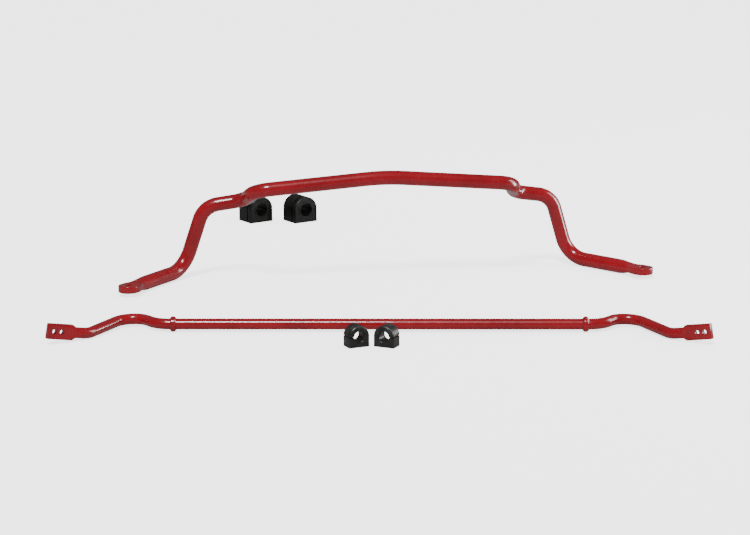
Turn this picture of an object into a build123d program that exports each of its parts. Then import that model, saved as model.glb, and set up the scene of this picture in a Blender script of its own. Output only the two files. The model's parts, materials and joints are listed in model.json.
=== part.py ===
from build123d import *
from math import cos, radians, sin
import os

# Sway bar kit for one car: a front bar, a rear bar with its two locating collars, and four split
# D-bushes, set down on a floor as a fitter lays them out. Each bush is moulded in one piece and is
# made here as two solids, the base and the cap, which meet at the level of the slit: the wall
# opposite the slit is the hinge that opens when the bush is pushed over its bar.
# Millimetres and degrees. +X runs along the rear bar, +Z is up, and the bars' toes point to -Y.
# The origin is on the floor, in the middle of the kit.

# Rear bar: round steel, drop-forged into an upright blade at each end.
rear_bar_dia = 20.0
rear_half_span = 592.0  # middle of the bar to a blade's tip
rear_shoulder_to_heel = 120.0  # first bend out to the heel, the last bend, along X
rear_crest_to_heel = 69.0
rear_crest_y = 70.0  # corner of the backward bend, before it is rounded
rear_heel_y = -54.0
rear_stem_length = 18.6  # heel's corner to the forging
rear_toe_turn = 34.0  # the blade's turn towards -Y
rear_toe_rise = 11.0  # and its slope up from the heel, which rests on the floor
rear_bend_radii = (45.0, 35.0, 45.0)

# Rear blade: the forged plate with two holes, which set how stiff the bar acts.
blade_length = 56.0
blade_height = 28.0
blade_thickness = 10.0
blade_shoulder = 6.0  # length of the sloping corners next to the round bar
blade_neck = 9.0  # length over which the round bar flattens
blade_hole_dia = 9.0
blade_hole_from_tip = 13.0
blade_hole_pitch = 15.0
blade_corner_radius = 1.5

# Rear collar: a ring on each side that keeps the bar from sliding through its bushes.
collar_rise = 4.0  # above the bar
collar_width = 10.0
collar_crest = 5.5  # width of the flat crest, before its edges are rounded
collar_to_bend = 29.0  # collar's middle to the corner of the first bend
collar_dia = rear_bar_dia + 2 * collar_rise

# Front bar: thicker round steel, forged into a flat paddle at each end.
front_bar_dia = 28.0
front_half_span = 519.0  # middle of the bar to a paddle's tip
front_height = 206.0  # axis height at the middle of the bar
front_arch_drop = 20.0  # middle down to the jog
front_jog_drop = 30.0  # over the jog
front_shoulder_drop = 12.0  # jog down to the elbow
front_jog_width = 12.0
front_shoulder_width = 80.0
front_leg_splay = 40.0  # elbow out to the ankle
front_toe_reach = 131.0  # ankle out to the paddle's tip
front_middle_v = -70.0  # the bar's depths, before it is turned to its place
front_jog_v = -4.0
front_elbow_v = 4.0
front_ankle_v = 22.0
front_toe_v = -140.0
front_middle_radius = 500.0
front_bend_radii = (36.0, 36.0, 45.0, 45.0)

# Front paddle.
paddle_width = 40.0
paddle_thickness = 13.0
paddle_length = 44.0
paddle_neck = 34.0
paddle_hole_dia = 12.0

# Bushes: the bore takes the bar, and the wall is the rubber round it.
bore_clearance = 0.2
rear_bush_wall = 9.5
rear_bush_length = 28.0
rear_bush_edge = 1.6
front_bush_wall = 13.5
front_bush_length = 50.0
front_bush_edge = 1.2
front_groove_width = 4.0
front_groove_depth = 2.5
front_groove_from_face = 12.0
front_rim_width = 3.0
front_face_recess = 1.2

# Where each piece stands: x, y of its middle and its turn about Z, before the kit is centred.
front_bar_place = (0.0, 483.0, 9.0)
rear_bush_places = {"left": (-41.0, -106.0, 25.0), "right": (13.0, -106.0, -25.0)}
front_bush_places = {"left": (-268.0, 985.0, 34.0), "right": (-172.0, 985.0, 34.0)}


def mirrored_route(half):
    """The whole centreline from its right half, which may begin on the middle plane."""
    left = [(-x, y, z) for x, y, z in reversed(half) if x > 0]
    return left + half


def round_tube(points, radii, diameter):
    """A round bar swept along straight runs joined by arcs."""
    path = FilletPolyline(*points, radius=radii)
    start = Plane(origin=path @ 0, z_dir=path % 0)
    return sweep(start * Circle(diameter / 2), path=path)


def end_frame(inner, tip, up):
    """Frame at the tip of an arm: X points back along the arm, and Z is the given upward side."""
    return Plane(origin=tip, x_dir=Vector(*inner) - Vector(*tip), z_dir=up)


def tip_beyond(inner, tip, length):
    """The point this far back from the tip, where the round bar ends and the forging begins."""
    back = (Vector(*inner) - Vector(*tip)).normalized()
    return tuple(Vector(*tip) + back * length)


def neck(diameter, width, thickness, near, far):
    """The flattening stretch between the round bar at far and the plate at near, along X."""
    flat = Plane.YZ.offset(near) * Ellipse(width / 2, thickness / 2)
    whole = Plane.YZ.offset(far) * Circle(diameter / 2)
    return loft([flat, whole])


def blade():
    """Rear blade along +X from its tip, with its broad faces to +Z and -Z."""
    shoulder_height = (blade_height - rear_bar_dia) / 2
    plate = Box(
        blade_length, blade_height, blade_thickness, align=(Align.MIN, Align.CENTER, Align.CENTER)
    )
    root = plate.edges().filter_by(Axis.Z).group_by(Axis.X)[-1]
    plate = chamfer(root, blade_shoulder, shoulder_height)
    tip = plate.edges().filter_by(Axis.Z).group_by(Axis.X)[0]
    plate = fillet(tip, blade_corner_radius)
    stem = neck(rear_bar_dia, rear_bar_dia, blade_thickness, blade_length, blade_length + blade_neck)
    for number in range(2):
        place = blade_hole_from_tip + number * blade_hole_pitch
        plate -= Pos(place, 0, 0) * Cylinder(blade_hole_dia / 2, 2 * blade_thickness)
    return plate + stem


def paddle():
    """Front paddle along +X from its tip, with its broad faces to +Z and -Z."""
    centre = paddle_width / 2
    plate = extrude(Circle(centre), paddle_thickness / 2, both=True)
    shank = Box(paddle_length - centre, paddle_width, paddle_thickness)
    plate = Pos(centre, 0, 0) * plate + Pos((paddle_length + centre) / 2, 0, 0) * shank
    root = plate.edges().filter_by(Axis.Z).group_by(Axis.X)[-1]
    plate = chamfer(root, (paddle_width - front_bar_dia) / 2)
    stem = neck(
        front_bar_dia, front_bar_dia, paddle_thickness, paddle_length, paddle_length + paddle_neck
    )
    hole = Cylinder(paddle_hole_dia / 2, 2 * paddle_thickness)
    return plate + stem - Pos(centre, 0, 0) * hole


def rear_route():
    """Right half of the rear bar's centreline. The bar rests on its two collars and its two heels."""
    axis_z = collar_dia / 2
    run = rear_stem_length + blade_neck + blade_length
    flat_run = run * cos(radians(rear_toe_rise))
    heel_x = rear_half_span - flat_run * cos(radians(rear_toe_turn))
    heel_z = rear_bar_dia / 2
    tip_y = rear_heel_y - flat_run * sin(radians(rear_toe_turn))
    tip_z = heel_z + run * sin(radians(rear_toe_rise))
    return [
        (heel_x - rear_shoulder_to_heel, 0, axis_z),
        (heel_x - rear_crest_to_heel, rear_crest_y, axis_z),
        (heel_x, rear_heel_y, heel_z),
        (rear_half_span, tip_y, tip_z),
    ]


def rear_bar():
    half = rear_route()
    tip = half[-1]
    tube_end = tip_beyond(half[-2], tip, blade_length + blade_neck)
    radii = list(reversed(rear_bend_radii)) + list(rear_bend_radii)
    tube = round_tube(mirrored_route(half[:-1] + [tube_end]), radii, rear_bar_dia)
    for side in (1, -1):
        inner = (side * half[-2][0], half[-2][1], half[-2][2])
        outer = (side * tip[0], tip[1], tip[2])
        along = (Vector(*inner) - Vector(*outer)).normalized()
        across = along.cross(Vector(0, 0, 1)).normalized()
        tube += end_frame(inner, outer, across) * blade()
    return tube


def collar(side):
    """Locating collar, bored to sit on the bar, with a rounded crest."""
    ring = Cylinder(collar_dia / 2, collar_width) - Cylinder(rear_bar_dia / 2, collar_width)
    rims = ring.edges().filter_by(GeomType.CIRCLE).group_by(SortBy.RADIUS)[-1]
    ring = chamfer(rims, (collar_width - collar_crest) / 2)
    crest = ring.edges().filter_by(GeomType.CIRCLE).group_by(SortBy.RADIUS)[-1]
    ring = fillet(crest, collar_crest / 3)
    bend_x, _, axis_z = rear_route()[0]
    return Pos(side * (bend_x - collar_to_bend), 0, axis_z) * Rot(0, 90, 0) * ring


def front_route():
    """Right half of the front bar's centreline, standing on its toes, before it is turned."""
    ankle_x = front_half_span - front_toe_reach
    elbow_x = ankle_x - front_leg_splay
    jog_outer_x = elbow_x - front_shoulder_width
    jog_inner_x = jog_outer_x - front_jog_width
    jog_inner_z = front_height - front_arch_drop
    jog_outer_z = jog_inner_z - front_jog_drop
    floor_z = front_bar_dia / 2
    return [
        (0, front_middle_v, front_height),
        (jog_inner_x, front_middle_v, jog_inner_z),
        (jog_outer_x, front_jog_v, jog_outer_z),
        (elbow_x, front_elbow_v, jog_outer_z - front_shoulder_drop),
        (ankle_x, front_ankle_v, floor_z),
        (front_half_span, front_toe_v, floor_z),
    ]


def front_bar():
    half = front_route()
    tip = half[-1]
    tube_end = tip_beyond(half[-2], tip, paddle_length + paddle_neck)
    radii = list(reversed(front_bend_radii)) + [front_middle_radius] + list(front_bend_radii)
    bar = round_tube(mirrored_route(half[:-1] + [tube_end]), radii, front_bar_dia)
    for side in (1, -1):
        inner = (side * half[-2][0], half[-2][1], half[-2][2])
        outer = (side * tip[0], tip[1], tip[2])
        bar += end_frame(inner, outer, (0, 0, 1)) * paddle()
    return place(bar, front_bar_place)


def place(shape, where):
    """Set a piece down at x, y and turn it about Z."""
    x, y, turn = where
    return Pos(x, y, 0) * Rot(0, 0, turn) * shape


def d_outline(half_width, bore_height):
    """D-shaped face of a bush: an arch about the bore on a square base, standing on Z = 0."""
    arch = Pos(0, bore_height) * Circle(half_width)
    base = Pos(0, bore_height / 2) * Rectangle(2 * half_width, bore_height)
    return arch + base


def d_block(half_width, length, edge):
    """A bush before it is bored, along Y, with its edges bevelled all round."""
    face = Plane.XZ * d_outline(half_width, half_width)
    block = extrude(face, length / 2, both=True)
    return chamfer(block.faces().filter_by(Axis.Y).edges(), edge)


def bored(block, bore_dia, bore_height, length):
    """The block with its bore along Y."""
    return block - Pos(0, 0, bore_height) * Rot(90, 0, 0) * Cylinder(bore_dia / 2, 2 * length)


def base_and_cap(bush, bore_height):
    """Divide a bush at the level of its slit."""
    reach = 4 * bore_height
    half_space = Pos(0, 0, bore_height) * Box(
        reach, reach, reach, align=(Align.CENTER, Align.CENTER, Align.MIN)
    )
    return {"base": bush - half_space, "cap": bush & half_space}


def rear_bush():
    bore = rear_bar_dia + bore_clearance
    half_width = bore / 2 + rear_bush_wall
    block = d_block(half_width, rear_bush_length, rear_bush_edge)
    return base_and_cap(bored(block, bore, half_width, rear_bush_length), half_width)


def front_bush():
    bore = front_bar_dia + bore_clearance
    half_width = bore / 2 + front_bush_wall
    height = half_width
    block = d_block(half_width, front_bush_length, front_bush_edge)
    front_y = -front_bush_length / 2
    groove_y = front_y + front_groove_from_face + front_groove_width / 2
    ring = d_outline(2 * half_width, height) - d_outline(half_width - front_groove_depth, height)
    block -= Pos(0, groove_y, 0) * extrude(Plane.XZ * ring, front_groove_width / 2, both=True)
    inset = half_width - front_rim_width
    pocket = Pos(0, height) * Circle(inset)
    pocket += Pos(0, (height + front_rim_width) / 2) * Rectangle(2 * inset, height - front_rim_width)
    pocket -= Pos(0, height) * Circle(bore / 2 + front_rim_width)
    block -= Pos(0, front_y, 0) * extrude(Plane.XZ * pocket, front_face_recess, both=True)
    return base_and_cap(bored(block, bore, height, front_bush_length), height)


def kit():
    """Every piece by name, in place, before the kit is centred."""
    pieces = {"rear_bar": rear_bar(), "front_bar": front_bar()}
    for name, side in (("left", -1), ("right", 1)):
        pieces[f"rear_collar_{name}"] = collar(side)
    for end, bush, places in (
        ("rear", rear_bush(), rear_bush_places),
        ("front", front_bush(), front_bush_places),
    ):
        for side, where in places.items():
            for half, solid in bush.items():
                pieces[f"{end}_bush_{side}_{half}"] = place(solid, where)
    return pieces


pieces = kit()
box = Compound(children=[Compound(piece.solids()) for piece in pieces.values()]).bounding_box()
centring = Pos(-box.center().X, -box.center().Y, -box.min.Z)

os.makedirs("parts", exist_ok=True)
for name, piece in pieces.items():
    export_step(centring * piece, f"parts/{name}.step")
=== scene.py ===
# %% [markdown]
# # A sway bar kit: two red bars and four black bushes
#
# A car leans when it turns, and a sway bar is the spring that holds it level: a steel bar that joins
# the left wheel to the right one and twists when they move apart. This kit has a thick bar for the
# front, a thinner one for the rear, and four split rubber bushes that carry the bars. The packed
# CAD model is loaded first and never moved. It says where each piece stands, through its mounts,
# joints and boxes, and the bends and sections between those places are sizes given below.

# %% Load the frame
import json
from math import acos, atan2, ceil, cos, degrees, hypot, pi, radians, sin, sqrt, tan

import bmesh
import bpy
from mathutils import Matrix, Vector
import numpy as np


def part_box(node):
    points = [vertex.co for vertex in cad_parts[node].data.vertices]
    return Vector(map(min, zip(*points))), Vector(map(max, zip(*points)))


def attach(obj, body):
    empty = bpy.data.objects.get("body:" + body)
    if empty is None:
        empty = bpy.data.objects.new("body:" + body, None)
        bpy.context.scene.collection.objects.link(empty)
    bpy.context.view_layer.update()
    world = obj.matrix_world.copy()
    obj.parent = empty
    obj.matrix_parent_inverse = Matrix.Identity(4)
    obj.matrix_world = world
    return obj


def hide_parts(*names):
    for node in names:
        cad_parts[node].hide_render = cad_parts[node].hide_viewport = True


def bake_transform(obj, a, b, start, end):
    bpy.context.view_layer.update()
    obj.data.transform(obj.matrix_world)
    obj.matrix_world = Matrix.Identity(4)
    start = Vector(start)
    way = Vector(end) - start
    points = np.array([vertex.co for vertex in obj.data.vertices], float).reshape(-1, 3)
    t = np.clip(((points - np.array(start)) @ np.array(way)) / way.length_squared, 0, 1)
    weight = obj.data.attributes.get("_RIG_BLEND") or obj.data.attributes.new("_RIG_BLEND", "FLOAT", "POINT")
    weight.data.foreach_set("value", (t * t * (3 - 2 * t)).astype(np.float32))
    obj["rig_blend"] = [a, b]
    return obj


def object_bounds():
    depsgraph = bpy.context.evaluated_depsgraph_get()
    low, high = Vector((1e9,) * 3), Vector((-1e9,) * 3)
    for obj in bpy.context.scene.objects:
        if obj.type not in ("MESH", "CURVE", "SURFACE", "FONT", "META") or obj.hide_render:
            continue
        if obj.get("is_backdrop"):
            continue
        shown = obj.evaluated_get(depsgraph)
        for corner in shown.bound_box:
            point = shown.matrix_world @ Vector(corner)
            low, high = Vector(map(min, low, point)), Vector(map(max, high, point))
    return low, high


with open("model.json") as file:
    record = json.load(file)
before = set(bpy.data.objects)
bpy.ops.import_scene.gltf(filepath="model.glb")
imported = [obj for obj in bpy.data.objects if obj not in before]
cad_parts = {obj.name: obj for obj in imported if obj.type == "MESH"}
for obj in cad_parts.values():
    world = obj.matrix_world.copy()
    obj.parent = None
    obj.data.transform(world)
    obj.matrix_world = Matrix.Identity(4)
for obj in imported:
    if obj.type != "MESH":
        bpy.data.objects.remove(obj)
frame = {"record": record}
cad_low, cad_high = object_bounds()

MM = 0.001
MERGE_WITHIN = 0.002 * MM  # doubled vertices nearer than this become one
SAME_PLACE = 0.01 * MM  # how near counts as the same place
SAME_LEVEL = 0.001 * MM  # and as the same level, on a cut or a rim
bpy.ops.object.select_all(action="DESELECT")
mounts = {mount["name"]: mount for mount in frame["record"]["mounts"]}
joints = {joint["name"]: joint for joint in frame["record"]["behaviour"]["joints"]}
print("the kit's box in metres:", [round(side, 4) for side in cad_high - cad_low])


def mount_place(name):
    """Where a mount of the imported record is, in metres."""
    return Vector(mounts[name]["pos_m"])


def box_middle(node):
    """The middle of a CAD node's box."""
    low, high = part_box(node)
    return (low + high) / 2


# %% [markdown]
# ## The camera
#
# A long lens far away keeps the rear bar the same thickness from end to end, as a catalogue picture
# does. The camera stands in front of the rear bar, a little above it, so both bars lie across the
# picture and the floor fills what is behind them. A wide lens close by would have made the near
# bar look heavier than the far one.

# %% Camera
VIEW_DISTANCE = 5.0
VIEW_ELEVATION = radians(14.0)
LENS_MM = 132.0
SENSOR_MM = 36.0
DOWN_TO_BAR = radians(1.177)
ASIDE_TO_BAR = radians(0.094)

bar_middle = (box_middle("rear_collar_left") + box_middle("rear_collar_right")) / 2
away = Vector((0, -cos(VIEW_ELEVATION), sin(VIEW_ELEVATION)))
camera_place = bar_middle + away * VIEW_DISTANCE
camera_turn = (radians(90) - VIEW_ELEVATION + DOWN_TO_BAR, 0, ASIDE_TO_BAR)
bpy.ops.object.camera_add(location=camera_place, rotation=camera_turn)
camera = bpy.context.object
camera.data.sensor_width = SENSOR_MM
camera.data.lens = LENS_MM
camera.data.clip_end = 100.0
bpy.context.scene.camera = camera
print("the camera stands", round(camera_place.z, 3), "m above the floor")

# %% [markdown]
# ## The floor
#
# Gloss paint shows its surroundings more than its own colour. A near-white floor mirrored in the
# clear coat would lay a grey veil over the red, so a studio hangs dark cloth where the product looks
# and keeps the paper bright where the lens looks. The Light Path node does the same job: the floor
# glows for camera rays only, and its colour is darker for glossy ones.

# %% Floor
FLOOR_SIZE = 30.0
FLOOR_DROP = 0.4 * MM
FLOOR_PALE = (0.9, 0.9, 0.9, 1.0)
FLOOR_MIRRORED = (0.22, 0.22, 0.22, 1.0)
FLOOR_GLOW = 2.3


def pale_floor():
    """A matt, pale floor that is brighter to the lens and darker in reflections."""
    material = bpy.data.materials.new("pale_floor")
    material.use_nodes = True
    tree = material.node_tree
    shader = tree.nodes["Principled BSDF"]
    shader.inputs["Roughness"].default_value = 0.9
    shader.inputs["Specular IOR Level"].default_value = 0.1
    ray = tree.nodes.new("ShaderNodeLightPath")
    colour = tree.nodes.new("ShaderNodeMixRGB")
    colour.inputs["Color1"].default_value = FLOOR_PALE
    colour.inputs["Color2"].default_value = FLOOR_MIRRORED
    tree.links.new(ray.outputs["Is Glossy Ray"], colour.inputs["Fac"])
    tree.links.new(colour.outputs["Color"], shader.inputs["Base Color"])
    glow = tree.nodes.new("ShaderNodeMath")
    glow.operation = "MULTIPLY"
    glow.inputs[1].default_value = FLOOR_GLOW
    tree.links.new(ray.outputs["Is Camera Ray"], glow.inputs[0])
    tree.links.new(glow.outputs[0], shader.inputs["Emission Strength"])
    shader.inputs["Emission Color"].default_value = (1.0, 1.0, 1.0, 1.0)
    return material


bpy.ops.mesh.primitive_plane_add(size=FLOOR_SIZE, location=(0, FLOOR_SIZE / 4, -FLOOR_DROP))
floor_plane = bpy.context.object
floor_plane.name = "floor"
floor_plane.data.materials.append(pale_floor())
floor_plane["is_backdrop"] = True

# %% [markdown]
# ## The light
#
# One soft sun from the front gives every tube a thin bright line, about a third of the way down from
# its top, and a tall softbox on the right lights the sides that turn away from it. The upright right
# leg mirrors neither: what it mirrors is low on its right. A narrow strip stands there, seen only in
# reflections, and draws the long line down the leg. The sky only fills the shadows, and is dimmer
# still in reflections.

# %% Sky
SKY_STRENGTH = 0.45
SKY_MIRRORED = 0.12

sky = bpy.data.worlds.new("studio")
sky.use_nodes = True
sky_ray = sky.node_tree.nodes.new("ShaderNodeLightPath")
sky_strength = sky.node_tree.nodes.new("ShaderNodeMapRange")
sky_strength.inputs["To Min"].default_value = SKY_STRENGTH
sky_strength.inputs["To Max"].default_value = SKY_MIRRORED
background = sky.node_tree.nodes["Background"]
background.inputs["Color"].default_value = (1.0, 1.0, 1.0, 1.0)
sky.node_tree.links.new(sky_ray.outputs["Is Glossy Ray"], sky_strength.inputs["Value"])
sky.node_tree.links.new(sky_strength.outputs["Result"], background.inputs["Strength"])
bpy.context.scene.world = sky
print("the sky is", SKY_STRENGTH, "to the eye and", SKY_MIRRORED, "in a mirror")

# %% Sun
SUN_ELEVATION = radians(57.0)
SUN_ASIDE = radians(-14.0)
SUN_WIDTH = radians(16.0)
SUN_POWER = 3.4

sun_level = cos(SUN_ELEVATION)
sun_from = Vector((sin(SUN_ASIDE) * sun_level, -cos(SUN_ASIDE) * sun_level, sin(SUN_ELEVATION)))
bpy.ops.object.light_add(type="SUN", rotation=sun_from.to_track_quat("Z", "Y").to_euler())
sun = bpy.context.object
sun.name = "soft_sun"
sun.data.energy = SUN_POWER
sun.data.angle = SUN_WIDTH
print("the sun comes from", [round(part, 2) for part in sun_from])


# %% Softboxes
def softbox(name, place, target, wide, high, watts, only_mirrored=False):
    """A rectangular light at a place, facing a target, that the lens itself doesn't see."""
    facing = (Vector(place) - Vector(target)).to_track_quat("Z", "Y").to_euler()
    bpy.ops.object.light_add(type="AREA", location=place, rotation=facing)
    light = bpy.context.object
    light.name = name
    light.data.shape = "RECTANGLE"
    light.data.size = wide
    light.data.size_y = high
    light.data.energy = watts
    light.visible_camera = False
    light.visible_diffuse = not only_mirrored


softbox("side_softbox", place=(2.6, 0.3, 0.9), target=(0, 0, 0.1), wide=1.0, high=1.8, watts=40.0)
softbox(
    "leg_strip", place=(0.8, 0.08, 0.13), target=(0, 0.08, 0.13), wide=0.1, high=0.3, watts=2.2,
    only_mirrored=True,
)

# %% [markdown]
# ## Handling meshes
#
# The modelling below is what a person does by hand in edit mode. An operator acts on all that is
# selected, so these helpers first make one object the only selected one, open its mesh with nothing
# selected, and then select edges or faces by a test, because a script has no mouse to pick with.

# %% Selecting
def only(piece):
    """Make a piece active and the only one selected."""
    if bpy.context.object and bpy.context.object.mode != "OBJECT":
        bpy.ops.object.mode_set(mode="OBJECT")
    bpy.ops.object.select_all(action="DESELECT")
    piece.select_set(True)
    bpy.context.view_layer.objects.active = piece


def open_mesh(piece):
    """Go into edit mode with nothing selected."""
    only(piece)
    bpy.ops.object.mode_set(mode="EDIT")
    bpy.ops.mesh.select_mode(type="VERT")
    bpy.ops.mesh.select_all(action="DESELECT")


def close_mesh():
    """Leave edit mode."""
    bpy.ops.object.mode_set(mode="OBJECT")


def select_where(piece, kind, wanted):
    """In edit mode, select the edges or the faces for which wanted is true, and count them."""
    bpy.ops.mesh.select_mode(type=kind)
    bpy.ops.mesh.select_all(action="DESELECT")
    mesh = bmesh.from_edit_mesh(piece.data)
    found = [part for part in (mesh.edges if kind == "EDGE" else mesh.faces) if wanted(part)]
    for part in found:
        part.select_set(True)
    mesh.select_flush_mode()
    bmesh.update_edit_mesh(piece.data)
    return len(found)


# %% [markdown]
# A finished piece sits at the origin, unturned and unscaled, with its place in its mesh. Modifiers
# are applied at once. Doubled vertices are merged, faces are turned outward, and the finished mesh
# is measured: a closed one has no open edge, and its volume should be near the real piece's own.

# %% Finishing a mesh
def set_place(piece):
    """Write the object's place and turn into its mesh, so that it sits at the origin."""
    only(piece)
    bpy.ops.object.transform_apply(location=True, rotation=True, scale=True)


def apply_modifier(piece, kind, **settings):
    """Add a modifier with these settings and apply it."""
    only(piece)
    modifier = piece.modifiers.new(kind.lower(), kind)
    for name, value in settings.items():
        setattr(modifier, name, value)
    bpy.ops.object.modifier_apply(modifier=modifier.name)


def tidy_mesh(piece):
    """Merge doubled vertices and turn every face outward."""
    open_mesh(piece)
    bpy.ops.mesh.select_all(action="SELECT")
    bpy.ops.mesh.remove_doubles(threshold=MERGE_WITHIN)
    bpy.ops.mesh.normals_make_consistent(inside=False)
    close_mesh()


CM3_IN_M3 = 1e6


def report_mesh(piece):
    """Print how large a finished mesh is and whether it is closed."""
    mesh = bmesh.new()
    mesh.from_mesh(piece.data)
    open_edges = sum(1 for edge in mesh.edges if not edge.is_manifold)
    volume = round(mesh.calc_volume(signed=True) * CM3_IN_M3, 2)
    print(piece.name, len(piece.data.polygons), "faces,", open_edges, "open edges,", volume, "cm3")
    mesh.free()


# %% [markdown]
# ## A bent bar
#
# A sway bar starts as one straight length of round steel, which a bending machine feeds forward and
# wraps round a former, bend after bend. A curve with a round bevel would give the same tube faster,
# but its bends would only be near to arcs. Here the ring at the end is extruded along each straight
# run and spun about the centre of each bend, so each bend is a true arc, as on the machine.

# %% Tube
RING_POINTS = 48
BEND_STEP = radians(3.0)
FEWEST_STEPS = 3


def start_ring(name, place, direction, radius):
    """One open ring of vertices across a direction."""
    turn = direction.to_track_quat("Z", "Y").to_euler()
    bpy.ops.mesh.primitive_circle_add(
        vertices=RING_POINTS, radius=radius, location=place, rotation=turn
    )
    ring = bpy.context.object
    ring.name = name
    set_place(ring)
    return ring


def bent_tube(name, corners, bend_radii, radius):
    """A tube along straight runs, with an arc of the given radius at each inner corner."""
    tube = start_ring(name, corners[0], (corners[1] - corners[0]).normalized(), radius)
    open_mesh(tube)
    bpy.ops.mesh.select_all(action="SELECT")
    here = corners[0]
    for corner, after, bend_radius in zip(corners[1:], corners[2:], bend_radii):
        incoming = (corner - here).normalized()
        outgoing = (after - corner).normalized()
        turn = incoming.angle(outgoing)
        setback = bend_radius * tan(turn / 2)
        bend_start = corner - incoming * setback
        if (bend_start - here).length > SAME_PLACE:
            bpy.ops.mesh.extrude_region_move(TRANSFORM_OT_translate={"value": bend_start - here})
        inward = (outgoing - incoming * incoming.dot(outgoing)).normalized()
        bpy.ops.mesh.spin(
            steps=max(FEWEST_STEPS, ceil(turn / BEND_STEP)), angle=turn, dupli=False,
            center=bend_start + inward * bend_radius, axis=outgoing.cross(incoming).normalized(),
        )
        here = corner + outgoing * setback
    bpy.ops.mesh.extrude_region_move(TRANSFORM_OT_translate={"value": corners[-1] - here})
    mesh = bmesh.from_edit_mesh(tube.data)
    ring = [vertex.co for vertex in mesh.verts if vertex.select]
    miss = (sum(ring, Vector()) / len(ring) - corners[-1]).length
    print(name, "ends", round(miss / MM, 4), "mm from its last point, with", len(ring), "points round")
    close_mesh()
    return tube


# %% [markdown]
# ## A forged end
#
# The ends of a sway bar aren't welded on. The hot bar is pressed flat between two dies and punched,
# so the round bar runs out into the flat plate with a crisp crease where the die began. The end is
# extruded ring by ring as a round stub, and then each ring is pressed to its section: a circle at
# the bar, a rectangle on the plate. The plate's flats are then dissolved into one face each, so
# the holes can be cut and every edge rounded evenly.

# %% Pressing a ring
FLAT_WITHIN = radians(0.6)


def pressed(across, through, half_width, half_thickness, press):
    """Move a point of a round ring towards the rectangle of the plate: press runs from 0 to 1."""
    largest = max(abs(across), abs(through))
    flat_across = half_width * across / largest
    flat_through = half_thickness * through / largest
    return across + (flat_across - across) * press, through + (flat_through - through) * press


def eased(share):
    """Slow at both ends, from 0 to 1."""
    share = min(1.0, max(0.0, share))
    return share * share * (3 - 2 * share)


def forged_end(name, stations, section, bar_radius):
    """A stub along X with its tip at X = 0 and its broad faces to +Z and -Z."""
    stub = start_ring(name, Vector((stations[0], 0, 0)), Vector((1, 0, 0)), bar_radius)
    open_mesh(stub)
    bpy.ops.mesh.select_all(action="SELECT")
    for station, following in zip(stations, stations[1:]):
        step = Vector((following - station, 0, 0))
        bpy.ops.mesh.extrude_region_move(TRANSFORM_OT_translate={"value": step})
    bpy.ops.mesh.edge_face_add()
    mesh = bmesh.from_edit_mesh(stub.data)
    for vertex in mesh.verts:
        x, across, through = vertex.co
        vertex.co.yz = pressed(across, through, *section(x))
    bmesh.update_edit_mesh(stub.data)
    bpy.ops.mesh.select_all(action="SELECT")
    bpy.ops.mesh.remove_doubles(threshold=SAME_PLACE)
    bpy.ops.mesh.dissolve_limited(angle_limit=FLAT_WITHIN)
    close_mesh()
    return stub


# %% Punching a hole
HOLE_EDGE = 0.35 * MM
HOLE_POINTS = 48


def is_rim(edge, along, hole_radius):
    """Whether an edge lies on the rim of a hole, where the plate's flat meets the hole's wall."""
    on_circle = all(
        abs(hypot(vertex.co.x - along, vertex.co.y) - hole_radius) < SAME_PLACE for vertex in edge.verts
    )
    return on_circle and abs(edge.verts[0].co.z - edge.verts[1].co.z) < SAME_PLACE


def punch(plate, along, hole_radius, depth):
    """Cut a round hole through the plate, across its flats."""
    bpy.ops.mesh.primitive_cylinder_add(
        vertices=HOLE_POINTS, radius=hole_radius, depth=depth, location=(along, 0, 0)
    )
    punch_tool = bpy.context.object
    set_place(punch_tool)
    apply_modifier(plate, "BOOLEAN", object=punch_tool, operation="DIFFERENCE", solver="EXACT")
    bpy.data.objects.remove(punch_tool, do_unlink=True)
    open_mesh(plate)
    select_where(plate, "EDGE", lambda edge: is_rim(edge, along, hole_radius))
    bpy.ops.mesh.bevel(offset=HOLE_EDGE, segments=2, affect="EDGES")
    close_mesh()


# %% [markdown]
# Powder coat can't hold a knife edge: it pulls back and leaves every corner rounded by about a
# millimetre. A Bevel modifier that works by angle rounds the outline before the holes are cut, and
# leaves the smooth neck alone. The rims of the holes are masked in the oven and stay crisper, so
# each gets a smaller bevel of its own.

# %% Joining the end to the tube
SEAM_WITHIN = 0.02 * MM
SMOOTH_UNDER = radians(32.0)
STEEL_CORNER = radians(35.0)
REACH_OVER_RADIUS = 1.6


def round_edges(piece, radius, sharper_than, segments):
    """Round every edge that turns by more than an angle, as far as the overlap clamp allows."""
    apply_modifier(
        piece, "BEVEL", limit_method="ANGLE", angle_limit=sharper_than,
        width=radius, segments=segments, use_clamp_overlap=True,
    )


def stand_at(stub, tip, backward, upward):
    """Set a stub down with its tip at a point, its X back along the arm and its Z to one side."""
    side = upward.cross(backward).normalized()
    axes = Matrix((backward, side, backward.cross(side))).transposed().to_4x4()
    stub.matrix_world = Matrix.Translation(tip) @ axes
    set_place(stub)


def join_and_bridge(tube, stub, gap_middle, radius):
    """Join an end to its tube and bridge the two open rings that face each other across the gap."""
    reach = REACH_OVER_RADIUS * radius
    only(tube)
    stub.select_set(True)
    bpy.ops.object.join()
    open_mesh(tube)
    count = select_where(
        tube, "EDGE", lambda edge: edge.is_boundary and (edge.verts[0].co - gap_middle).length < reach
    )
    bpy.ops.mesh.bridge_edge_loops()
    close_mesh()
    print(tube.name, "bridged", count, "edges")


def mirror_bar(bar):
    """Give the bar its left half."""
    apply_modifier(bar, "MIRROR", use_axis=(True, False, False), merge_threshold=SEAM_WITHIN)
    tidy_mesh(bar)
    bpy.ops.object.shade_smooth_by_angle(angle=SMOOTH_UNDER)


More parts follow.
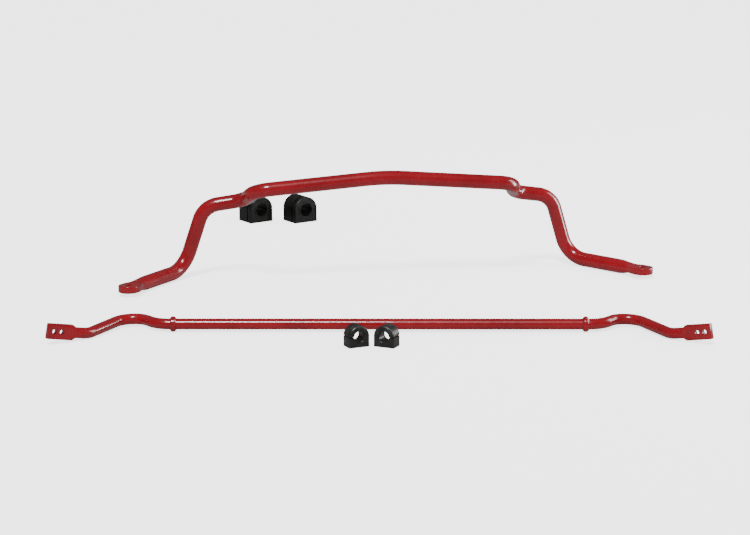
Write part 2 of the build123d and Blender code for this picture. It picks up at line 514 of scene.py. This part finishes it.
# %% [markdown]
# ## The rear bar
#
# The rear bar is the thin one. Its middle runs straight between two collars, then each side steps
# back round something on the car and comes forward again to a tall blade. A blade stands on edge and
# has two holes, one behind the other: a drop link bolted in the inner hole gets a shorter lever, and
# the bar acts stiffer. One half is modelled and mirrored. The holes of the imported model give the
# blade's line, and the collars give the bar's axis.

# %% Rear bar: sizes and route
REAR_RADIUS = 10 * MM
REAR_BEND_RADII = (45 * MM, 35 * MM, 45 * MM)
COLLAR_TO_BEND = 29 * MM
CREST_BACK = 70 * MM
CREST_TO_HEEL = 69 * MM
STEM = 18.6 * MM
BLADE_LENGTH = 56 * MM
BLADE_HALF_HEIGHT = 14 * MM
BLADE_HALF_THICKNESS = 5 * MM
BLADE_SHOULDER = 6 * MM
BLADE_NECK = 9 * MM
BLADE_EDGE = 0.9 * MM
HOLE_FROM_TIP = 13 * MM
HOLE_PITCH = 15 * MM
HOLE_RADIUS = 4.5 * MM

outer_hole = mount_place("rear_blade_right_outer_hole")
inner_hole = mount_place("rear_blade_right_inner_hole")
blade_line = (outer_hole - inner_hole).normalized()
rear_tip = outer_hole + blade_line * HOLE_FROM_TIP
rear_heel = rear_tip - blade_line * (BLADE_LENGTH + BLADE_NECK + STEM)
rear_axis = box_middle("rear_collar_right")
rear_corners = [
    Vector((0, rear_axis.y, rear_axis.z)),
    rear_axis + Vector((COLLAR_TO_BEND, 0, 0)),
    Vector((rear_heel.x - CREST_TO_HEEL, rear_axis.y + CREST_BACK, rear_axis.z)),
    rear_heel,
]
print("heel of the rear bar:", [round(part / MM, 2) for part in rear_heel], "mm")


# %% Rear blade
def blade_section(x):
    """Half width, half thickness and pressing of the blade at a distance from its tip."""
    into_neck = min(1.0, max(0.0, (x - BLADE_LENGTH) / BLADE_NECK))
    shoulder = min(1.0, max(0.0, (x - BLADE_LENGTH + BLADE_SHOULDER) / BLADE_SHOULDER))
    half_width = BLADE_HALF_HEIGHT + (REAR_RADIUS - BLADE_HALF_HEIGHT) * shoulder
    return half_width, BLADE_HALF_THICKNESS, 1 - sin(into_neck * pi / 2)


neck_steps = [BLADE_LENGTH + BLADE_NECK * share for share in (1.0, 0.8, 0.6, 0.4, 0.2)]
blade_stations = neck_steps + [BLADE_LENGTH, BLADE_LENGTH - BLADE_SHOULDER, 0.0]
rear_blade = forged_end("rear_blade", blade_stations, blade_section, REAR_RADIUS)
round_edges(rear_blade, BLADE_EDGE, STEEL_CORNER, 3)
for number in range(2):
    punch(rear_blade, HOLE_FROM_TIP + number * HOLE_PITCH, HOLE_RADIUS, 4 * BLADE_HALF_THICKNESS)
blade_face = blade_line.cross(Vector((0, 0, 1))).normalized()
stand_at(rear_blade, rear_tip, -blade_line, -blade_face)
print("blade faces", [round(part, 3) for part in blade_face])

# %% Rear bar
STEM_LEFT_OPEN = 4 * MM
rear_tube_end = rear_tip - blade_line * (BLADE_LENGTH + BLADE_NECK + STEM_LEFT_OPEN)
rear_bar = bent_tube("rear_sway_bar", rear_corners + [rear_tube_end], REAR_BEND_RADII, REAR_RADIUS)
join_and_bridge(rear_bar, rear_blade, rear_tube_end, REAR_RADIUS)
mirror_bar(rear_bar)
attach(rear_bar, "rear_bar")
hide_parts("rear_bar")
report_mesh(rear_bar)

# %% [markdown]
# ## The collars
#
# A collar is a thick steel ring pressed and welded on the bar beside each bush, so the bar can't
# creep sideways through the rubber. A plain torus would look like a bead. The ring is an open
# cylinder whose two rims are extruded down to the bar as slopes, with the crest then rounded by a
# bevel, and a small fillet of paint is left where it meets the bar. One is modelled, and a copy is
# moved to the other side.

# %% Collars
COLLAR_RADIUS = 14 * MM
COLLAR_WIDTH = 10 * MM
COLLAR_CREST = 5.5 * MM
COLLAR_SLOPE = (COLLAR_WIDTH - COLLAR_CREST) / 2
COLLAR_FOOT = COLLAR_RADIUS - COLLAR_SLOPE
PAINT_FILLET = 0.5 * MM
COLLAR_ROUND = 1.2 * MM
COLLAR_CORNER = radians(30.0)
COLLAR_POINTS = 96


def rim_out(piece, side, distance, growth):
    """Extrude the rim on one side of a ring about X, along X, and scale the new rim about the axis."""
    rim = max(side * vertex.co.x for vertex in piece.data.vertices)
    new_middle = (side * (rim + distance), 0, 0)
    open_mesh(piece)
    select_where(
        piece, "EDGE", lambda edge: all(side * vertex.co.x > rim - SAME_LEVEL for vertex in edge.verts)
    )
    bpy.ops.mesh.extrude_region_move(TRANSFORM_OT_translate={"value": (side * distance, 0, 0)})
    bpy.ops.transform.resize(value=(1, growth, growth), center_override=new_middle)
    close_mesh()


bpy.ops.mesh.primitive_cylinder_add(
    vertices=COLLAR_POINTS, radius=COLLAR_RADIUS, depth=COLLAR_CREST,
    end_fill_type="NOTHING", rotation=(0, radians(90), 0),
)
first_collar = bpy.context.object
set_place(first_collar)
foot_radius = REAR_RADIUS + PAINT_FILLET
for side in (1, -1):
    rim_out(first_collar, side, COLLAR_SLOPE, COLLAR_FOOT / COLLAR_RADIUS)
    rim_out(first_collar, side, 0.0, foot_radius / COLLAR_FOOT)
    rim_out(first_collar, side, PAINT_FILLET, REAR_RADIUS / foot_radius)
open_mesh(first_collar)
select_where(first_collar, "EDGE", lambda edge: edge.is_boundary)
bpy.ops.mesh.bridge_edge_loops()
close_mesh()
apply_modifier(
    first_collar, "BEVEL", limit_method="ANGLE", angle_limit=COLLAR_CORNER,
    width=COLLAR_ROUND, segments=4,
)
tidy_mesh(first_collar)
bpy.ops.object.shade_smooth_by_angle(angle=COLLAR_CORNER)
print("the collar's ring has", len(first_collar.data.polygons), "faces")

# %% Two collars
collars = []
for side in ("left", "right"):
    collar = first_collar.copy()
    collar.data = first_collar.data.copy()
    collar.name = f"rear_collar_{side}_ring"
    bpy.context.collection.objects.link(collar)
    collar.location = box_middle(f"rear_collar_{side}")
    set_place(collar)
    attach(collar, "rear_bar")
    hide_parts(f"rear_collar_{side}")
    collars.append(collar)
bpy.data.objects.remove(first_collar, do_unlink=True)
report_mesh(collars[0])

# %% [markdown]
# ## The front bar
#
# The front bar is thicker, and it has to climb over the engine's parts: two toes lie forward, two
# legs rise from them, and the middle is a long low arch that is set forward of the legs, so a short
# jog joins them on each side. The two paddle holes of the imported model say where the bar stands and
# how far it is turned. Half of it is modelled about its own middle, mirrored, and only then turned
# into place, because a mirror works about an object's own axes.

# %% Front bar: sizes and route
FRONT_RADIUS = 14 * MM
FRONT_BEND_RADII = (36 * MM, 36 * MM, 45 * MM, 45 * MM)
ARCH_RADIUS = 500 * MM
ARCH_TOP = Vector((0, -70 * MM, 206 * MM))
ARCH_END = Vector((256 * MM, -70 * MM, 186 * MM))
JOG_END = Vector((268 * MM, -4 * MM, 156 * MM))
ELBOW = Vector((348 * MM, 4 * MM, 144 * MM))
ANKLE = Vector((388 * MM, 22 * MM, 14 * MM))
TOE_TIP = Vector((519 * MM, -140 * MM, 14 * MM))
PADDLE_HALF_WIDTH = 20 * MM
PADDLE_HALF_THICKNESS = 6.5 * MM
PADDLE_FULL = 26 * MM
PADDLE_LENGTH = 44 * MM
PADDLE_NECK = 34 * MM
PADDLE_NARROWED = 54 * MM
PADDLE_EDGE = 1.2 * MM
PADDLE_HOLE_RADIUS = 6 * MM

toe_line = (TOE_TIP - ANKLE).normalized()
left_hole = mount_place("front_paddle_left_hole")
right_hole = mount_place("front_paddle_right_hole")
front_turn = atan2(right_hole.y - left_hole.y, right_hole.x - left_hole.x)
hole_y = (TOE_TIP - toe_line * PADDLE_HALF_WIDTH).y
to_middle = Matrix.Rotation(front_turn, 4, "Z") @ Vector((0, hole_y, 0))
front_place = (left_hole + right_hole) / 2 - to_middle
front_place.z = 0
print("the front bar is turned by", round(degrees(front_turn), 3), "degrees")


# %% Front paddle
def paddle_section(x):
    """Half width, half thickness and pressing of the paddle at a distance from its tip."""
    into_neck = min(1.0, max(0.0, (x - PADDLE_LENGTH) / PADDLE_NECK))
    narrowing = eased((x - PADDLE_FULL) / (PADDLE_NARROWED - PADDLE_FULL))
    half_width = PADDLE_HALF_WIDTH + (FRONT_RADIUS - PADDLE_HALF_WIDTH) * narrowing
    if x < PADDLE_HALF_WIDTH:
        half_width = sqrt(max(0.0, PADDLE_HALF_WIDTH**2 - (PADDLE_HALF_WIDTH - x) ** 2))
    return half_width, PADDLE_HALF_THICKNESS, 1 - sin(into_neck * pi / 2)


NECK_RINGS = 9
WAIST_RINGS = 6
TIP_RINGS = 12
neck_steps = [PADDLE_LENGTH + PADDLE_NECK * (1 - ring / NECK_RINGS) for ring in range(NECK_RINGS)]
waist = PADDLE_LENGTH - PADDLE_HALF_WIDTH
waist_steps = [PADDLE_LENGTH - waist * ring / WAIST_RINGS for ring in range(WAIST_RINGS)]
tip_steps = [PADDLE_HALF_WIDTH * (1 - sin(pi / 2 * ring / TIP_RINGS)) for ring in range(TIP_RINGS + 1)]
front_paddle = forged_end(
    "front_paddle", neck_steps + waist_steps + tip_steps, paddle_section, FRONT_RADIUS
)
round_edges(front_paddle, PADDLE_EDGE, STEEL_CORNER, 3)
punch(front_paddle, PADDLE_HALF_WIDTH, PADDLE_HOLE_RADIUS, 4 * PADDLE_HALF_THICKNESS)
stand_at(front_paddle, TOE_TIP, -toe_line, Vector((0, 0, 1)))
print("the paddle is pressed from", len(neck_steps + waist_steps + tip_steps), "rings")

# %% Front bar
TOE_LEFT_OPEN = 5 * MM

arch_run = (ARCH_END - ARCH_TOP).normalized()
arch_slope = acos(arch_run.x)
crown = ARCH_TOP - Vector((0, 0, ARCH_RADIUS * (1 / cos(arch_slope) - 1)))
arch_corner = crown + Vector((ARCH_RADIUS * tan(arch_slope / 2), 0, 0))
front_tube_end = TOE_TIP - toe_line * (PADDLE_LENGTH + PADDLE_NECK + TOE_LEFT_OPEN)
front_corners = [crown, arch_corner, ARCH_END, JOG_END, ELBOW, ANKLE, front_tube_end]
front_bar = bent_tube(
    "front_sway_bar", front_corners, (ARCH_RADIUS, *FRONT_BEND_RADII), FRONT_RADIUS
)
join_and_bridge(front_bar, front_paddle, front_tube_end, FRONT_RADIUS)
mirror_bar(front_bar)
front_bar.rotation_euler = (0, 0, front_turn)
front_bar.location = front_place
set_place(front_bar)
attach(front_bar, "front_bar")
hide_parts("front_bar")
report_mesh(front_bar)

# %% [markdown]
# ## The bushes
#
# A bush is a block of hard rubber with a D-shaped face: an arch that a steel strap holds down, and a
# flat base that sits on the car. Its hole carries the bar, and one wall is slit, so it can be opened
# and pushed over the bar. A Boolean could bore and groove a D block, but it would leave one large
# face with a hole in it, which shades badly and can't bend. Instead one ring of vertices is extruded
# round the whole profile, out along the arch, in across the far face, back down the bore and out
# across the near face. Each new ring is shaped as it is made, and the last is merged with the first.
# Every vertex keeps its own angle about the bore as an attribute, which an extrusion copies along.

# %% Bush rings
BUSH_POINTS = 96


def d_point(angle, centre, side_inset, floor_inset=0.0):
    """A point of the D outline at an angle about the bore: an arch above it and a square below."""
    across, up = cos(angle), sin(angle)
    half_width = centre - side_inset
    if up >= 0:
        return half_width * across, centre + half_width * up
    largest = max(abs(across), abs(up))
    return half_width * across / largest, centre + (centre - floor_inset) * up / largest


def bore_point(angle, centre, radius, flutes=0, flute_depth=0.0):
    """A point of the bore, with shallow grease flutes if it has any."""
    reach = radius + flute_depth * (0.5 - 0.5 * cos(flutes * angle))
    return reach * cos(angle), centre + reach * sin(angle)


def bush_body(name, centre, rings):
    """Extrude one ring through every (y, outline) of a closed profile. The bore runs along Y."""
    bpy.ops.mesh.primitive_circle_add(
        vertices=BUSH_POINTS, radius=centre, location=(0, 0, centre), rotation=(radians(90), 0, 0)
    )
    body = bpy.context.object
    body.name = name
    set_place(body)
    angles = body.data.attributes.new("angle", "FLOAT", "POINT")
    for vertex, angle in zip(body.data.vertices, angles.data):
        angle.value = atan2(vertex.co.z - centre, vertex.co.x)
    open_mesh(body)
    bpy.ops.mesh.select_all(action="SELECT")
    for number, (y, outline) in enumerate(rings + rings[:1]):
        if number:
            bpy.ops.mesh.extrude_region_move()
        mesh = bmesh.from_edit_mesh(body.data)
        angle_of = mesh.verts.layers.float["angle"]
        for vertex in [vertex for vertex in mesh.verts if vertex.select]:
            x, z = outline(vertex[angle_of])
            vertex.co = Vector((x, y, z))
        bmesh.update_edit_mesh(body.data)
    close_mesh()
    body.data.attributes.remove(body.data.attributes["angle"])
    tidy_mesh(body)
    return body


# %% [markdown]
# The slit is cut as wide as a saw's kerf, at the bore's height, and only through one wall. Four level
# cuts go round the whole bush: the two outer ones are the lips of the slit, and on the other wall all
# four are loops for the rubber to bend at. The slit's faces are deleted, and each lip is filled.

# %% The slit
REAR_SLIT = 1.6 * MM
FRONT_SLIT = 1.0 * MM
FOLD_LOOPS = (-0.5, -0.25, 0.25, 0.5)  # shares of the slit's width
UPRIGHT = 0.5  # a face whose normal rises less than this stands on edge


def cut_slit(body, centre, slit_side, slit):
    """Open the wall on one side at the bore's height, and give the other wall loops to bend at."""
    open_mesh(body)
    for share in FOLD_LOOPS:
        bpy.ops.mesh.select_all(action="SELECT")
        level = (0, 0, centre + share * slit)
        bpy.ops.mesh.bisect(plane_co=level, plane_no=(0, 0, 1), threshold=SAME_LEVEL)
    half_slit = slit / 2 - SAME_PLACE
    select_where(
        body, "FACE",
        lambda face: slit_side * face.calc_center_median().x > 0
        and abs(face.calc_center_median().z - centre) < half_slit
        and abs(face.normal.z) < UPRIGHT,
    )
    bpy.ops.mesh.delete(type="FACE")
    for height in (-slit / 2, slit / 2):
        select_where(
            body, "EDGE",
            lambda edge: edge.is_boundary
            and all(abs(vertex.co.z - centre - height) < SAME_PLACE for vertex in edge.verts),
        )
        bpy.ops.mesh.edge_face_add()
    bpy.ops.mesh.select_all(action="SELECT")
    bpy.ops.mesh.normals_make_consistent(inside=False)
    close_mesh()


# %% [markdown]
# A bush is opened by pulling its cap away from its base. Two rigid halves would part at the wall
# opposite the slit, so the whole bush is one piece that follows the base below the slit and the cap
# above it, and turns smoothly in between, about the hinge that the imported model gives.

# %% Standing and folding a bush
def stand_bush(body, end, side, slit):
    """Turn a finished bush to its place, and let it fold between its base and its cap."""
    hinge = joints[f"{end}_bush_{side}_opening"]
    axis = Vector(hinge["axis"]) * (1 if hinge["axis"][1] > 0 else -1)
    middle = box_middle(f"{end}_bush_{side}_base")
    body.rotation_euler = (0, 0, atan2(-axis.x, axis.y))
    body.location = (middle.x, middle.y, 0)
    set_place(body)
    fold = Vector(hinge["pos_m"])
    half_slit = Vector((0, 0, slit / 2))
    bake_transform(body, f"{end}_bush_{side}", f"{end}_bush_{side}_cap", fold - half_slit, fold + half_slit)
    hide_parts(f"{end}_bush_{side}_base", f"{end}_bush_{side}_cap")
    report_mesh(body)


# %% [markdown]
# ## Rear bushes
#
# The rear pair are plain D blocks with broad bevels round both faces and a small lead-in at the
# bore. Their slits are on opposite walls, so each is modelled in turn from the same rings.

# %% Rear bushes
REAR_BORE = mounts["rear_bush_left_bore"]["dims"]["r_mm"] * MM
REAR_BUSH_LENGTH = mounts["rear_bush_left_bore"]["dims"]["length_mm"] * MM
REAR_BUSH_EDGE = 1.6 * MM
REAR_LEAD_IN = 0.9 * MM
RUBBER_EDGE = 0.35 * MM
RUBBER_CORNER = radians(28.0)
rear_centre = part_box("rear_bush_left_base")[1].z


def rear_bush_rings():
    """Profile of a rear bush, from the near end of the arch round to the near face."""
    centre, face = rear_centre, REAR_BUSH_LENGTH / 2
    shoulder = face - REAR_BUSH_EDGE
    skin = lambda angle: d_point(angle, centre, 0)
    rim = lambda angle: d_point(angle, centre, REAR_BUSH_EDGE, REAR_BUSH_EDGE)
    mouth = lambda angle: bore_point(angle, centre, REAR_BORE + REAR_LEAD_IN)
    bore = lambda angle: bore_point(angle, centre, REAR_BORE)
    return [
        (-shoulder, skin), (shoulder, skin), (face, rim), (face, mouth),
        (face - REAR_LEAD_IN, bore), (REAR_LEAD_IN - face, bore), (-face, mouth), (-face, rim),
    ]


bushes = []
for side, slit_side in (("left", -1), ("right", 1)):
    bush = bush_body(f"rear_{side}_d_bush", rear_centre, rear_bush_rings())
    cut_slit(bush, rear_centre, slit_side, REAR_SLIT)
    round_edges(bush, RUBBER_EDGE, RUBBER_CORNER, 2)
    bpy.ops.object.shade_smooth_by_angle(angle=SMOOTH_UNDER)
    stand_bush(bush, "rear", side, REAR_SLIT)
    bushes.append(bush)

# %% [markdown]
# ## Front bushes
#
# The front pair are longer. The near face has a raised rim round its outline and another round the
# bore, a groove runs over the arch for the strap's edge, and the bore is fluted to hold grease. Each
# of these is only one or two more rings in the same profile. The small bevel that rounds the rear
# pair is added here too, but on this profile the overlap clamp leaves it no width, so the front
# pair's edges are as sharp as their rings draw them.

# %% Front bushes
FRONT_BORE = mounts["front_bush_left_bore"]["dims"]["r_mm"] * MM
FRONT_BUSH_LENGTH = mounts["front_bush_left_bore"]["dims"]["length_mm"] * MM
FRONT_BUSH_EDGE = 1.2 * MM
RIM_WIDTH = 3.0 * MM
RIM_SLOPE = 0.5 * MM
FACE_RECESS = 1.2 * MM
GROOVE_FROM_FACE = 12.0 * MM
GROOVE_WIDTH = 4.0 * MM
GROOVE_DEPTH = 2.5 * MM
FLUTES = 24
FLUTE_DEPTH = 0.7 * MM
front_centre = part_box("front_bush_left_base")[1].z


def front_bush_rings():
    """Profile of a front bush, from the near end of the arch round to the near face."""
    centre, face = front_centre, FRONT_BUSH_LENGTH / 2
    shoulder = face - FRONT_BUSH_EDGE
    groove_near = -face + GROOVE_FROM_FACE
    groove_far = groove_near + GROOVE_WIDTH
    recess = -face + FACE_RECESS
    skin = lambda angle: d_point(angle, centre, 0)
    groove = lambda angle: d_point(angle, centre, GROOVE_DEPTH)
    rim = lambda angle: d_point(angle, centre, FRONT_BUSH_EDGE, FRONT_BUSH_EDGE)
    rim_inside = lambda angle: d_point(angle, centre, RIM_WIDTH, RIM_WIDTH)
    pocket = lambda angle: d_point(angle, centre, RIM_WIDTH + RIM_SLOPE, RIM_WIDTH + RIM_SLOPE)
    boss = lambda angle: bore_point(angle, centre, FRONT_BORE + RIM_WIDTH)
    boss_top = lambda angle: bore_point(angle, centre, FRONT_BORE + RIM_WIDTH - RIM_SLOPE)
    bore = lambda angle: bore_point(angle, centre, FRONT_BORE, FLUTES, FLUTE_DEPTH)
    return [
        (-shoulder, skin), (groove_near, skin), (groove_near, groove), (groove_far, groove),
        (groove_far, skin), (shoulder, skin), (face, rim), (face, boss_top), (face, bore),
        (-face, bore), (-face, boss_top), (recess, boss), (recess, pocket),
        (-face, rim_inside), (-face, rim),
    ]


for side in ("left", "right"):
    bush = bush_body(f"front_{side}_d_bush", front_centre, front_bush_rings())
    cut_slit(bush, front_centre, 1, FRONT_SLIT)
    round_edges(bush, RUBBER_EDGE, RUBBER_CORNER, 2)
    bpy.ops.object.shade_smooth_by_angle(angle=SMOOTH_UNDER)
    stand_bush(bush, "front", side, FRONT_SLIT)
    bushes.append(bush)

# %% [markdown]
# ## Shared patterns
#
# Two effects are used by both finishes, so each is a node group that is built once. Fine texture is
# noise of two sizes added together, for the ripple of a sprayed coat or the grain of a mould. Bloom
# is a soft cloudy mask: where the coat lies thicker, or where rubber has dried to a greyer black.

# %% Node helpers
def new_group(name, inputs, outputs):
    """An empty shader node group with float inputs and outputs, and a vector called Place."""
    group = bpy.data.node_groups.new(name, "ShaderNodeTree")
    group.interface.new_socket(name="Place", in_out="INPUT", socket_type="NodeSocketVector")
    for socket in inputs:
        group.interface.new_socket(name=socket, in_out="INPUT", socket_type="NodeSocketFloat")
    for socket in outputs:
        group.interface.new_socket(name=socket, in_out="OUTPUT", socket_type="NodeSocketFloat")
    entry = group.nodes.new("NodeGroupInput")
    leave = group.nodes.new("NodeGroupOutput")
    return group, entry, leave


def noise(tree, place, scale, detail, roughness=0.5):
    """A noise texture. The scale is a number or a socket to read it from."""
    node = tree.nodes.new("ShaderNodeTexNoise")
    node.inputs["Detail"].default_value = detail
    node.inputs["Roughness"].default_value = roughness
    tree.links.new(place, node.inputs["Vector"])
    if isinstance(scale, (int, float)):
        node.inputs["Scale"].default_value = scale
    else:
        tree.links.new(scale, node.inputs["Scale"])
    return node.outputs["Fac"]


def arithmetic(tree, operation, first, second):
    """A Math node on two sockets or numbers."""
    node = tree.nodes.new("ShaderNodeMath")
    node.operation = operation
    for slot, value in zip(node.inputs, (first, second)):
        if isinstance(value, (int, float)):
            slot.default_value = value
        else:
            tree.links.new(value, slot)
    return node.outputs[0]


def remap(tree, value, low, high, to_low=0.0, to_high=1.0):
    """A Map Range node, clamped."""
    node = tree.nodes.new("ShaderNodeMapRange")
    tree.links.new(value, node.inputs["Value"])
    ends = {"From Min": low, "From Max": high, "To Min": to_low, "To Max": to_high}
    for name, number in ends.items():
        node.inputs[name].default_value = number
    return node.outputs["Result"]


# %% Mixing two colours
def mix_colours(tree, mask, first, second):
    """A colour Mix node: each colour is an RGB tuple or a socket."""
    node = tree.nodes.new("ShaderNodeMix")
    node.data_type = "RGBA"
    tree.links.new(mask, node.inputs["Factor"])
    for name, colour in (("A", first), ("B", second)):
        slot = next(s for s in node.inputs if s.name == name and s.type == "RGBA")
        if isinstance(colour, tuple):
            slot.default_value = (*colour, 1.0)
        else:
            tree.links.new(colour, slot)
    return next(s for s in node.outputs if s.type == "RGBA")


# %% Fine texture group
texture_inputs = ("Coarse Scale", "Fine Scale", "Fine Share")
fine_texture, entry, leave = new_group("fine_texture", texture_inputs, ("Height",))
coarse = noise(fine_texture, entry.outputs["Place"], entry.outputs["Coarse Scale"], 1.0)
fine = noise(fine_texture, entry.outputs["Place"], entry.outputs["Fine Scale"], 2.0)
fine_part = arithmetic(fine_texture, "MULTIPLY", fine, entry.outputs["Fine Share"])
fine_texture.links.new(arithmetic(fine_texture, "ADD", coarse, fine_part), leave.inputs["Height"])

# %% Bloom group
CLOUD_STARTS, CLOUD_FULL = 0.85, 1.2

bloom, entry, leave = new_group("bloom", ("Scale", "Cover"), ("Mask",))
cloud = noise(bloom, entry.outputs["Place"], entry.outputs["Scale"], 3.0, 0.6)
shifted = arithmetic(bloom, "ADD", cloud, entry.outputs["Cover"])
bloom.links.new(remap(bloom, shifted, CLOUD_STARTS, CLOUD_FULL), leave.inputs["Mask"])
print("groups:", [group.name for group in bpy.data.node_groups])


# %% A finish
def begin_finish(name):
    """A new material, its node tree, its shader, and the piece's own coordinates."""
    material = bpy.data.materials.new(name)
    material.use_nodes = True
    tree = material.node_tree
    place = tree.nodes.new("ShaderNodeTexCoord").outputs["Object"]
    return material, tree, tree.nodes["Principled BSDF"], place


def use_group(tree, group, place, **values):
    """Put a group in a material with its own values, and return its first output."""
    node = tree.nodes.new("ShaderNodeGroup")
    node.node_tree = group
    tree.links.new(place, node.inputs["Place"])
    for name, value in values.items():
        node.inputs[name.replace("_", " ").title()].default_value = value
    return node.outputs[0]


def bump(tree, height, distance, strength):
    """A Bump node that makes a normal from a height."""
    node = tree.nodes.new("ShaderNodeBump")
    node.inputs["Distance"].default_value = distance
    node.inputs["Strength"].default_value = strength
    tree.links.new(height, node.inputs["Height"])
    return node.outputs["Normal"]


# %% [markdown]
# ## Red powder coat
#
# The bars are sprayed with dry powder, which melts into one thick, glossy skin in an oven. It is
# nearly flat but never quite: the melt leaves orange peel, ripples two or three millimetres across
# that make a highlight waver. The colour is a deep red that lies a little darker where the coat is
# thick. Metallic paint would sparkle, which this doesn't, so the base is plain colour under a coat.

# %% Red powder coat
RED = (0.27, 0.0045, 0.0105)
DEEP_RED = (0.20, 0.003, 0.007)
PEEL_DEPTH = 0.07 * MM
PEEL_STRENGTH = 0.2
PEEL_LOW, PEEL_HIGH = 0.4, 0.9  # the range of the peel's height
RED_SMOOTH, RED_ROUGH = 0.24, 0.34  # roughness under the coat


def red_powder_coat():
    """Glossy red with orange peel and a little unevenness of colour."""
    material, tree, shader, place = begin_finish("gloss_red_powder_coat")
    cloud = use_group(tree, bloom, place, scale=14.0, cover=0.5)
    tree.links.new(mix_colours(tree, cloud, RED, DEEP_RED), shader.inputs["Base Color"])
    peel = use_group(tree, fine_texture, place, coarse_scale=150.0, fine_scale=330.0, fine_share=0.15)
    roughness = remap(tree, peel, PEEL_LOW, PEEL_HIGH, RED_SMOOTH, RED_ROUGH)
    tree.links.new(roughness, shader.inputs["Roughness"])
    tree.links.new(bump(tree, peel, PEEL_DEPTH, PEEL_STRENGTH), shader.inputs["Normal"])
    shader.inputs["Coat Weight"].default_value = 1.0
    shader.inputs["Coat Roughness"].default_value = 0.06
    shader.inputs["Coat IOR"].default_value = 1.45
    shader.inputs["Specular IOR Level"].default_value = 0.25
    return material


# %% [markdown]
# ## Black polyurethane
#
# The bushes are cast, not cut, so they carry the mould's fine grain. New polyurethane is a satin
# black, with a grey bloom in random clouds where it was handled or has dried. The same grey is also
# painted stronger up the arch as a painted reflection, lighter towards the top, so the bloom is partly
# real and partly painted light. It makes the surface lighter and duller together, so one mask drives
# both colour and roughness. The front pair are given a deeper black than the rear pair, with less
# bloom and less shine.

# %% Black polyurethane
BLACK = (0.010, 0.010, 0.0095)
DEEP_BLACK = (0.0035, 0.0035, 0.0032)
# Greys of the bloom, which are also the colour of the painted reflection on the arch
BLOOM_AND_REFLECTION_GREY = (0.045, 0.047, 0.044)
FAINT_BLOOM_AND_REFLECTION = (0.018, 0.018, 0.016)
GRAIN_DEPTH = 0.12 * MM
GRAIN_STRENGTH = 0.5
# Painted reflection: the grey is painted in full at the top of the arch and only at this share below the
# bore
PAINTED_REFLECTION_BELOW_ARCH = 0.25  # share of the arch's bloom
SATIN, DULL = 0.34, 0.55  # roughness of clean and of bloomed rubber


def black_polyurethane(name, reflection_from, reflection_to, black, bloom_and_reflection_colour, shine):
    """Satin black with grain, and a grey bloom: random clouds of real bloom, painted stronger between two
    heights up the arch as a painted reflection.
    """
    material, tree, shader, place = begin_finish(name)
    heights = tree.nodes.new("ShaderNodeSeparateXYZ")
    tree.links.new(place, heights.inputs[0])
    cloud = use_group(tree, bloom, place, scale=90.0, cover=0.45)
    # Painted reflection: the grey rises from the bore's height to the top of the arch, lighter towards the
    # top
    painted_arch_reflection = remap(tree, heights.outputs["Z"], reflection_from, reflection_to, PAINTED_REFLECTION_BELOW_ARCH, 1.0)
    mask = arithmetic(tree, "MULTIPLY", cloud, painted_arch_reflection)
    tree.links.new(mix_colours(tree, mask, black, bloom_and_reflection_colour), shader.inputs["Base Color"])
    tree.links.new(remap(tree, mask, 0.0, 1.0, SATIN, DULL), shader.inputs["Roughness"])
    shader.inputs["Specular IOR Level"].default_value = shine
    grain = use_group(tree, fine_texture, place, coarse_scale=700.0, fine_scale=2600.0, fine_share=0.5)
    tree.links.new(bump(tree, grain, GRAIN_DEPTH, GRAIN_STRENGTH), shader.inputs["Normal"])
    return material


# %% Give each piece its finish
def finish(piece, material):
    """Make this the piece's only material."""
    piece.data.materials.clear()
    piece.data.materials.append(material)


red = red_powder_coat()
for piece in (rear_bar, front_bar, *collars):
    finish(piece, red)
# Each finish paints its reflection stronger from the bore's height up to the top of the arch
rear_black = black_polyurethane(
    "black_polyurethane_rear", rear_centre, 2 * rear_centre, BLACK, BLOOM_AND_REFLECTION_GREY, 0.5
)
front_black = black_polyurethane(
    "black_polyurethane_front", front_centre, 2 * front_centre, DEEP_BLACK, FAINT_BLOOM_AND_REFLECTION, 0.3
)
for piece, material in zip(bushes, (rear_black, rear_black, front_black, front_black)):
    finish(piece, material)
print("finishes:", [material.name for material in bpy.data.materials])

# %% [markdown]
# ## Check the size
#
# The looks may not change what the object measures, so the box of the finished model is compared
# with the box of the imported one, and the difference is printed.

# %% Sizes and end
only(rear_bar)
bpy.ops.object.select_all(action="DESELECT")
low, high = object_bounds()
growth = (high - low) - (cad_high - cad_low)
print("visual box is larger by", [round(side / MM, 2) for side in growth], "mm")
